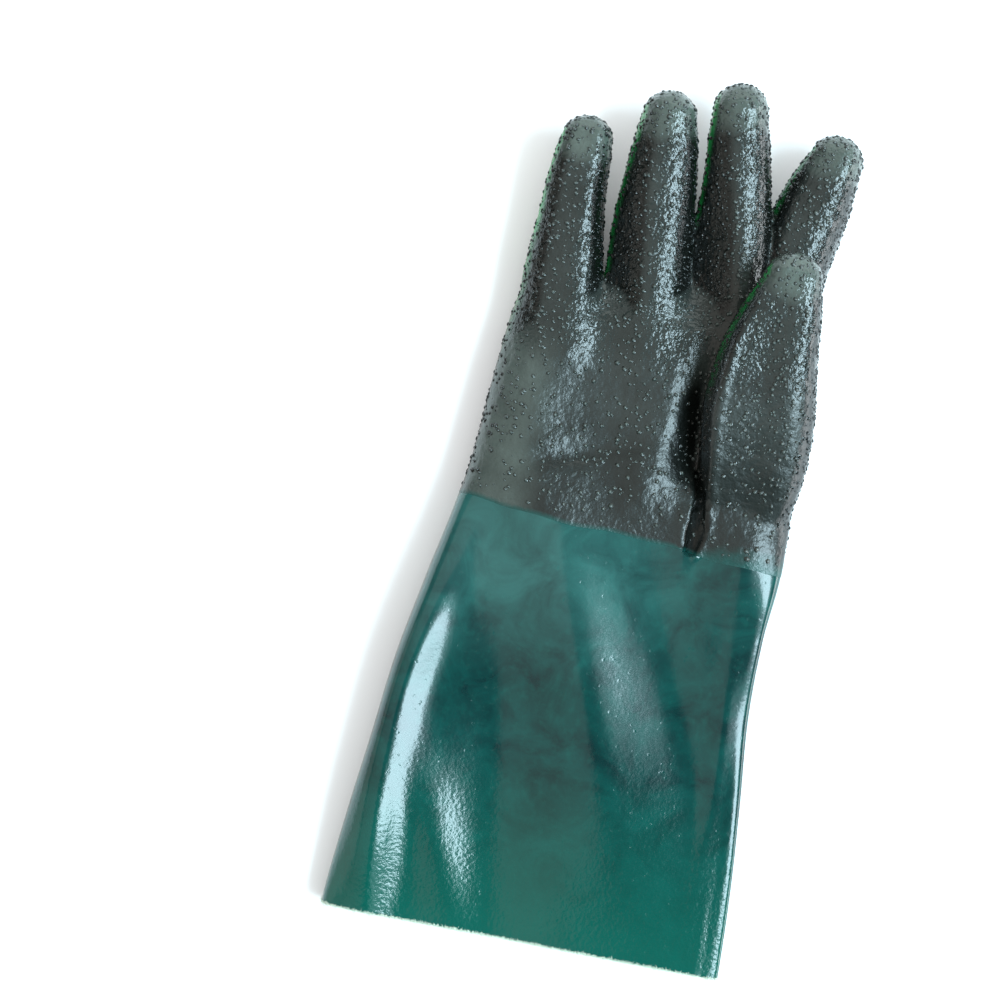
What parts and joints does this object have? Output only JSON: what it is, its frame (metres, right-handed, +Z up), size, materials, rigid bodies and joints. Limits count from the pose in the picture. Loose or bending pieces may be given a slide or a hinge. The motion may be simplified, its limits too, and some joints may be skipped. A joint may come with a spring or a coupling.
{
  "type": "abrasive blasting glove",
  "caption": "Right-hand dipped gauntlet glove lying palm up: a cotton-lined glossy green sleeve and a dark grit-coated hand.",
  "frame": {"origin": "under the middle of the glove, on the surface that its back lies on", "axes": "+Y from the hem to the fingertips, +X across the glove towards the thumb, +Z up out of the palm"},
  "size_m": [0.1858, 0.4032, 0.0672],
  "materials": {
    "green_coat": "glossy dipped soft PVC",
    "cotton_knit": "fine cotton jersey, raw at the cut hem",
    "grit_coat": "glossy dipped soft PVC over rounded grit"
  },
  "bodies": {
    "root": {"gauntlet_sleeve": "green_coat", "cotton_lining": "cotton_knit", "grit_hand": "grit_coat"}
  },
  "joints": []
}
